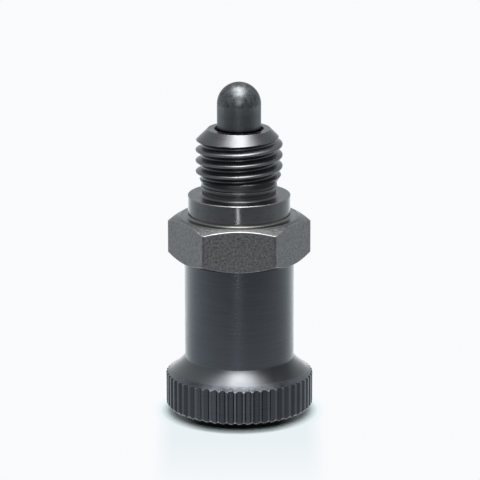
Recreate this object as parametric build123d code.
from build123d import *
import math
import os

# Indexing plunger, hand retracted, without a lock.
#
# A round pin slides in a threaded guide body.  A spring holds its nose out in front of the
# thread.  Pulling the knurled knob draws the nose back into the body, and letting go sends it
# out again.  The plunger is modelled standing on the face of its knob.
#
# Frame: the origin is the centre of the knob's end face, +Z runs along the axis towards the
# nose, and two flats of the hexagon face -Y and +Y.  Lengths are in millimetres.

# ---- Pin ---------------------------------------------------------------------------------
PIN_DIAMETER = 6.0
PIN_PROTRUSION = 6.4          # nose tip in front of the thread's end face, and the stroke
SHOULDER_THICKNESS = 1.5      # collar on the pin that the spring pushes on
SHOULDER_CHAMFER = 0.2
STEM_DIAMETER = 4.4           # rear stem, through the spring and the retaining bush
TAIL_DIAMETER = 4.0           # threaded tail, screwed and glued into the knob
TAIL_CHAMFER = 0.4

# ---- Threaded nose of the guide body -----------------------------------------------------
THREAD_DIAMETER = 11.85       # major diameter of M12 x 1.5 as cut
NOSE_LENGTH = 9.2             # from the collar's face to the end face
END_CHAMFER = 1.65            # 45 degree lead-in on the thread
NECK_DIAMETER = 10.2          # thread relief
NECK_LENGTH = 2.5
GROOVE_DEPTH = 0.12           # shallow undercut where the neck meets the collar
GROOVE_WIDTH = 1.2
NECK_FILLET = 0.18
MOUTH_CHAMFER = 0.25          # at the mouth of the guide bore

# ---- Collar and hexagon ------------------------------------------------------------------
COLLAR_DIAMETER = 14.0
COLLAR_HEIGHT = 2.9
COLLAR_EDGE = 0.12
COLLAR_FILLET = 0.25
HEX_ACROSS_FLATS = 17.0
HEX_HEIGHT = 6.0
HEX_CORNER_RADIUS = 0.45
HEX_FACE_INSET = 0.45         # turned face above the flats: this much in from each flat
HEX_FOOT_INSET = 0.15         # the same below
HEX_TOP_ANGLE = 26.0          # chamfer above, from the horizontal
HEX_FOOT_ANGLE = 30.0         # chamfer below

# ---- Barrel, bores and retaining bush ----------------------------------------------------
GUIDE_LENGTH = 15.9           # guide bore, from the end face to the step that stops the pin
SPRING_BORE_DIAMETER = 8.0
BARREL_CHAMFER = 0.4
BUSH_THICKNESS = 2.5
BUSH_SETBACK = 0.3            # the barrel's rim stands this far behind the bush
BUSH_CHAMFER = 0.2

# ---- Spring ------------------------------------------------------------------------------
WIRE_DIAMETER = 0.8
SPRING_TURNS = 4.5

# ---- Knob with its sleeve ----------------------------------------------------------------
KNOB_DIAMETER = 20.2          # over the crests of the flutes
KNURL_HEIGHT = 4.35
KNOB_CHAMFER = 1.15           # at the end face
BAND_HEIGHT = 0.7             # plain conical band between the flutes and the flare
BAND_WIDTH = 0.95
FLARE_HEIGHT = 1.6
FLARE_RADIUS = 8.0            # hollow flare from the band up to the sleeve
SLEEVE_DIAMETER = 15.0
SLEEVE_LENGTH = 13.9
SLEEVE_WALL = 1.4
SLEEVE_EDGE = 0.15
HEAD_THICKNESS = 6.5          # solid metal under the sleeve's bore
END_WALL = 0.8                # left under the tip of the tail's threaded hole
DRILL_ANGLE = 118.0
FLUTE_COUNT = 54
FLUTE_RADIUS = 0.6
FLUTE_DEPTH = 0.31

# ---- Clearances --------------------------------------------------------------------------
GUIDE_CLEARANCE = 0.03        # radial, pin in guide bore and stem in bush
SHOULDER_CLEARANCE = 0.08     # radial, shoulder in spring bore
SLEEVE_CLEARANCE = 0.25       # radial, sleeve over barrel
SPRING_CLEARANCE = 0.15       # radial, spring in its bore
TAIL_CLEARANCE = 0.02         # radial, film of adhesive round the tail
TAIL_END_GAP = 0.4            # between the tail and the bottom of its hole
REST_GAP = 0.08               # sleeve to hexagon when the pin is fully out
BARREL_END_GAP = 0.5          # barrel to the bottom of the sleeve at rest

# ---- Radii that follow -------------------------------------------------------------------
pin_r = PIN_DIAMETER / 2
guide_r = pin_r + GUIDE_CLEARANCE
spring_bore_r = SPRING_BORE_DIAMETER / 2
shoulder_r = spring_bore_r - SHOULDER_CLEARANCE
stem_r = STEM_DIAMETER / 2
tail_r = TAIL_DIAMETER / 2
thread_r = THREAD_DIAMETER / 2
neck_r = NECK_DIAMETER / 2
groove_r = neck_r - GROOVE_DEPTH
collar_r = COLLAR_DIAMETER / 2
flat_r = HEX_ACROSS_FLATS / 2
corner_r = flat_r / math.cos(math.radians(30))
knob_r = KNOB_DIAMETER / 2
sleeve_r = SLEEVE_DIAMETER / 2
sleeve_bore_r = sleeve_r - SLEEVE_WALL
barrel_r = sleeve_bore_r - SLEEVE_CLEARANCE
tail_hole_r = tail_r + TAIL_CLEARANCE
wire_r = WIRE_DIAMETER / 2
coil_r = spring_bore_r - SPRING_CLEARANCE - wire_r

# ---- Heights that follow, from the knob's end face up to the tip of the nose ---------------
z_knurl_top = KNOB_CHAMFER + KNURL_HEIGHT
z_band_top = z_knurl_top + BAND_HEIGHT
z_flare_top = z_band_top + FLARE_HEIGHT
z_sleeve_top = z_flare_top + SLEEVE_LENGTH
z_hex_foot = z_sleeve_top + REST_GAP
z_hex_top = z_hex_foot + HEX_HEIGHT
z_collar_top = z_hex_top + COLLAR_HEIGHT
z_thread_end = z_collar_top + NOSE_LENGTH
z_nose_centre = z_thread_end + PIN_PROTRUSION - pin_r
z_step = z_thread_end - GUIDE_LENGTH
z_spring_top = z_step - SHOULDER_THICKNESS
z_barrel_end = HEAD_THICKNESS + BARREL_END_GAP
z_bush_foot = z_barrel_end + BUSH_SETBACK
z_bush_top = z_bush_foot + BUSH_THICKNESS
z_tail_hole = END_WALL + tail_hole_r / math.tan(math.radians(DRILL_ANGLE / 2))
z_tail_end = z_tail_hole + TAIL_END_GAP


def turned(outline):
    """Revolve a closed half section, drawn in the XZ plane, about the Z axis."""
    return revolve(Plane.XZ * make_face(outline), Axis.Z)


def hexagon():
    """Hexagonal ring with eased corners, chamfered above and below by turning."""
    bar = extrude(fillet(RegularPolygon(corner_r, 6).vertices(), HEX_CORNER_RADIUS), HEX_HEIGHT)
    inside = (spring_bore_r + barrel_r) / 2
    outside = corner_r + 1
    face_r = flat_r - HEX_FACE_INSET
    foot_r = flat_r - HEX_FOOT_INSET
    top_drop = (outside - face_r) * math.tan(math.radians(HEX_TOP_ANGLE))
    foot_rise = (outside - foot_r) * math.tan(math.radians(HEX_FOOT_ANGLE))
    blank = turned(Polyline(
        (inside, z_hex_foot),
        (foot_r, z_hex_foot),
        (outside, z_hex_foot + foot_rise),
        (outside, z_hex_top - top_drop),
        (face_r, z_hex_top),
        (inside, z_hex_top),
        close=True,
    ))
    return blank & Pos(0, 0, z_hex_foot) * bar


def guide_body():
    """One turned piece: threaded nose, neck, collar, hexagon and the barrel behind it."""
    inside_hex = (z_hex_foot + z_hex_top) / 2
    outline = Curve() + [
        Polyline(
            (spring_bore_r, z_barrel_end),
            (barrel_r - BARREL_CHAMFER, z_barrel_end),
            (barrel_r, z_barrel_end + BARREL_CHAMFER),
            (barrel_r, inside_hex),
            (collar_r + COLLAR_FILLET, inside_hex),
            (collar_r + COLLAR_FILLET, z_hex_top),
        ),
        RadiusArc(
            (collar_r + COLLAR_FILLET, z_hex_top),
            (collar_r, z_hex_top + COLLAR_FILLET),
            COLLAR_FILLET,
        ),
        Polyline(
            (collar_r, z_hex_top + COLLAR_FILLET),
            (collar_r, z_collar_top - COLLAR_EDGE),
            (collar_r - COLLAR_EDGE, z_collar_top),
            (groove_r + NECK_FILLET, z_collar_top),
        ),
        RadiusArc(
            (groove_r + NECK_FILLET, z_collar_top),
            (groove_r, z_collar_top + NECK_FILLET),
            NECK_FILLET,
        ),
        Polyline(
            (groove_r, z_collar_top + NECK_FILLET),
            (groove_r, z_collar_top + GROOVE_WIDTH),
            (neck_r, z_collar_top + GROOVE_WIDTH),
            (neck_r, z_collar_top + NECK_LENGTH),
            (thread_r, z_collar_top + NECK_LENGTH + thread_r - neck_r),
            (thread_r, z_thread_end - END_CHAMFER),
            (thread_r - END_CHAMFER, z_thread_end),
            (guide_r + MOUTH_CHAMFER, z_thread_end),
            (guide_r, z_thread_end - MOUTH_CHAMFER),
            (guide_r, z_step),
            (spring_bore_r, z_step),
            (spring_bore_r, z_barrel_end),
        ),
    ]
    return turned(outline) + hexagon()


def locking_pin():
    """One turned piece: round nose, guided shank, shoulder, stem and threaded tail."""
    outline = Curve() + [
        Polyline(
            (0, z_nose_centre + pin_r),
            (0, z_tail_end),
            (tail_r - TAIL_CHAMFER, z_tail_end),
            (tail_r, z_tail_end + TAIL_CHAMFER),
            (tail_r, HEAD_THICKNESS),
            (stem_r, HEAD_THICKNESS),
            (stem_r, z_spring_top),
            (shoulder_r - SHOULDER_CHAMFER, z_spring_top),
            (shoulder_r, z_spring_top + SHOULDER_CHAMFER),
            (shoulder_r, z_step - SHOULDER_CHAMFER),
            (shoulder_r - SHOULDER_CHAMFER, z_step),
            (pin_r, z_step),
            (pin_r, z_thread_end),
            (pin_r, z_nose_centre),
        ),
        CenterArc((0, z_nose_centre), pin_r, 0, 90),
    ]
    return turned(outline)


def retaining_bush():
    """Bush pressed into the barrel's mouth: it holds the spring in and guides the stem."""
    bore_r = stem_r + GUIDE_CLEARANCE
    return turned(Polyline(
        (bore_r, z_bush_foot),
        (spring_bore_r, z_bush_foot),
        (spring_bore_r, z_bush_top - BUSH_CHAMFER),
        (spring_bore_r - BUSH_CHAMFER, z_bush_top),
        (bore_r, z_bush_top),
        close=True,
    ))


def spring():
    """Compression spring with ground ends, between the bush and the pin's shoulder."""
    length = z_spring_top - z_bush_top
    pitch = length / SPRING_TURNS
    path = Helix(pitch, length, coil_r)
    section = Plane(path @ 0, z_dir=path % 0) * Circle(wire_r)
    wound = sweep(section, path, is_frenet=True)
    ground = Cylinder(spring_bore_r, length, align=(Align.CENTER, Align.CENTER, Align.MIN))
    return Pos(0, 0, z_bush_top) * (wound & ground)


def flutes():
    """Straight flutes round the knob, as the bars that cut them."""
    centre_r = knob_r - FLUTE_DEPTH + FLUTE_RADIUS
    places = PolarLocations(centre_r, FLUTE_COUNT, start_angle=-90)
    return extrude(Sketch() + places * Circle(FLUTE_RADIUS), z_flare_top)


def knob():
    """One turned piece: fluted knob, flare and the sleeve that covers the barrel."""
    band_r = knob_r - BAND_WIDTH
    outside = Curve() + [
        Polyline(
            (0, z_sleeve_top),
            (0, 0),
            (knob_r - KNOB_CHAMFER, 0),
            (knob_r, KNOB_CHAMFER),
            (knob_r, z_knurl_top),
            (band_r, z_band_top),
        ),
        RadiusArc((band_r, z_band_top), (sleeve_r, z_flare_top), FLARE_RADIUS),
        Polyline(
            (sleeve_r, z_flare_top),
            (sleeve_r, z_sleeve_top - SLEEVE_EDGE),
            (sleeve_r - SLEEVE_EDGE, z_sleeve_top),
            (0, z_sleeve_top),
        ),
    ]
    bores = turned(Polyline(
        (0, END_WALL),
        (tail_hole_r, z_tail_hole),
        (tail_hole_r, HEAD_THICKNESS),
        (sleeve_bore_r, HEAD_THICKNESS),
        (sleeve_bore_r, z_sleeve_top - SLEEVE_EDGE),
        (sleeve_bore_r + SLEEVE_EDGE, z_sleeve_top),
        (0, z_sleeve_top),
        close=True,
    ))
    return turned(outside) - flutes() - bores


PARTS = {
    "guide_body": guide_body,
    "locking_pin": locking_pin,
    "retaining_bush": retaining_bush,
    "spring": spring,
    "knob": knob,
}

os.makedirs("parts", exist_ok=True)
for name, make in PARTS.items():
    solid = make()
    solid.label = name
    export_step(solid, f"parts/{name}.step")
    size = solid.bounding_box().size
    print(f"{name}: volume {solid.volume:.1f} mm3, {size.X:.2f} x {size.Y:.2f} x {size.Z:.2f} mm")
